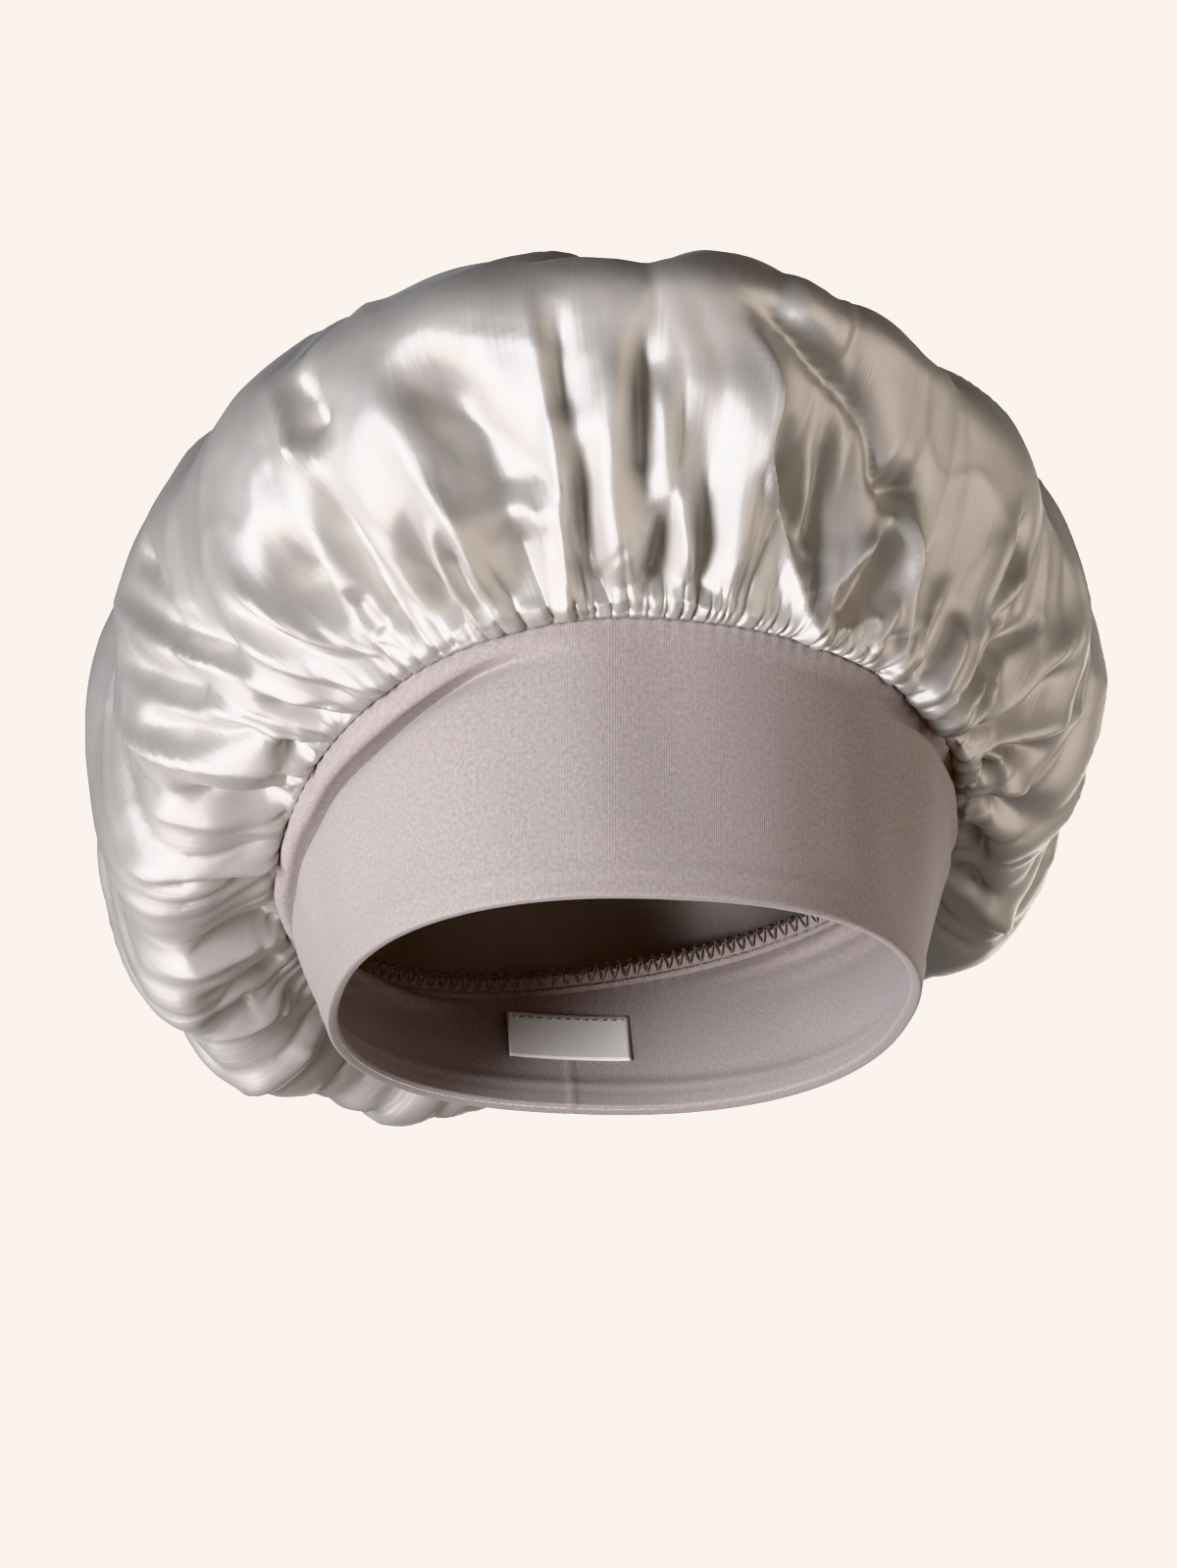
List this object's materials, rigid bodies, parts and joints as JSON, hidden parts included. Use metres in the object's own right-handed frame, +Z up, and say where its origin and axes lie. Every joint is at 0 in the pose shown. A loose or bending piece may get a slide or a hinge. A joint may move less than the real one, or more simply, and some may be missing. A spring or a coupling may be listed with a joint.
{
  "type": "hair bonnet",
  "caption": "Puffed satin hair bonnet gathered into a wide double knit stretch band, shown in its worn shape.",
  "frame": {"origin": "middle of the head opening, in the plane of the band's lower edge", "axes": "+Z up through the crown, -Y to the forehead side, +X to the wearer's left"},
  "size_m": [0.2754, 0.2693, 0.1847],
  "materials": {
    "satin": "silver grey charmeuse satin",
    "knit": "warm grey matt stretch knit",
    "elastic": "white woven elastic tape",
    "thread": "grey spun polyester thread",
    "label": "white woven label tape, blank"
  },
  "bodies": {
    "root": {"crown_panel": "satin", "band": "knit", "hem_elastic": "elastic", "gather_seam_needle_thread": "thread", "gather_seam_upper_looper_thread": "thread", "gather_seam_lower_looper_thread": "thread", "band_join_thread": "thread", "care_label": "label"}
  },
  "joints": []
}
